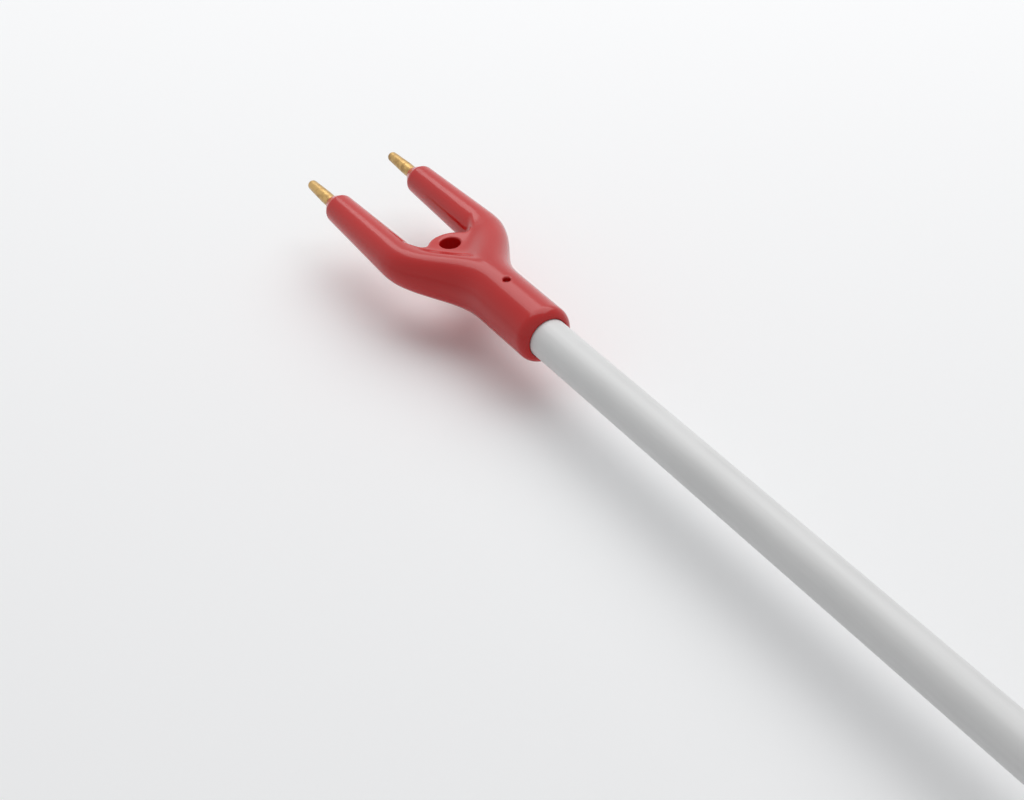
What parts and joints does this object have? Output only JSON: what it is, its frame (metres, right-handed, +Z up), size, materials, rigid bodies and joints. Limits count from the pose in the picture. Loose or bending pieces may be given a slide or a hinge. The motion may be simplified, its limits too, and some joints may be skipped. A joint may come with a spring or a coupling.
{
  "type": "cattle prodder",
  "caption": "Hand-held livestock prodder: a red two-prong fork with brass electrodes on a white tube, and a battery handle with a thumb lever and a screw cap.",
  "frame": {"origin": "under the middle of the length, on the surface that the flat underside of the handle rests on", "axes": "+X along the tube towards the electrodes, +Y across the prongs to the left one, +Z up through the thumb lever"},
  "size_m": [0.77, 0.0404, 0.0453],
  "materials": {
    "red_plastic": "glossy moulded",
    "white_tube": "satin",
    "brass": "slightly tarnished",
    "black_plastic": "fine grain",
    "steel": "zinc plated",
    "seal_rubber": "matt",
    "lead_red": "insulation",
    "lead_black": "insulation",
    "plunger_red": "moulded",
    "board_green": "solder mask",
    "potting": "potted",
    "capacitor_sleeve": "shrink sleeve",
    "cell_jacket": "plain jacket"
  },
  "bodies": {
    "handle": {"fork_body": "red_plastic", "electrode_left": "brass", "electrode_right": "brass", "fork_pin": "steel", "shaft_tube": "white_tube", "shaft_plug": "black_plastic", "lead_left": "lead_red", "lead_right": "lead_black", "shaft_ferrule": "black_plastic", "ferrule_pin": "steel", "handle_left": "red_plastic", "handle_right": "red_plastic", "handle_screws": "steel", "lever_pin": "steel", "lever_spring": "steel", "switch_body": "black_plastic", "circuit_board": "board_green", "transformer": "potting", "capacitor": "capacitor_sleeve", "cell_1": "cell_jacket", "cell_2": "cell_jacket", "cell_3": "cell_jacket", "cell_4": "cell_jacket", "front_contact": "brass", "return_strip": "brass", "cap_seal": "seal_rubber"},
    "lever": {"thumb_lever": "black_plastic"},
    "plunger": {"switch_plunger": "plunger_red"},
    "cap_core": {"cap_contact": "brass", "cap_spring": "steel"},
    "cap": {"battery_cap": "black_plastic"}
  },
  "joints": [
    {"name": "lever_press", "type": "hinge", "parent": "handle", "child": "lever", "pos_m": [-0.081, 0, 0.0351], "axis": [0, -1, 0], "range_deg": [0, 5], "stiffness_Nm_per_rad": 1, "springref_deg": -5.73, "deforming": ["lever_spring"]},
    {"name": "plunger_press", "type": "slide", "parent": "handle", "child": "plunger", "axis": [0, 0, -1], "range_m": [0, 0.00175]},
    {"name": "cap_travel", "type": "slide", "parent": "handle", "child": "cap_core", "axis": [-1, 0, 0], "range_m": [0, 0.0075]},
    {"name": "cap_turn", "type": "hinge", "parent": "cap_core", "child": "cap", "pos_m": [-0.36, 0, 0.0196], "axis": [-1, 0, 0], "range_deg": [0, 900]}
  ],
  "couplings": [
    {"joint": "plunger_press", "follows": "lever_press", "m_per_rad": 0.02},
    {"joint": "cap_travel", "follows": "cap_turn", "m_per_rad": 0.000477}
  ]
}
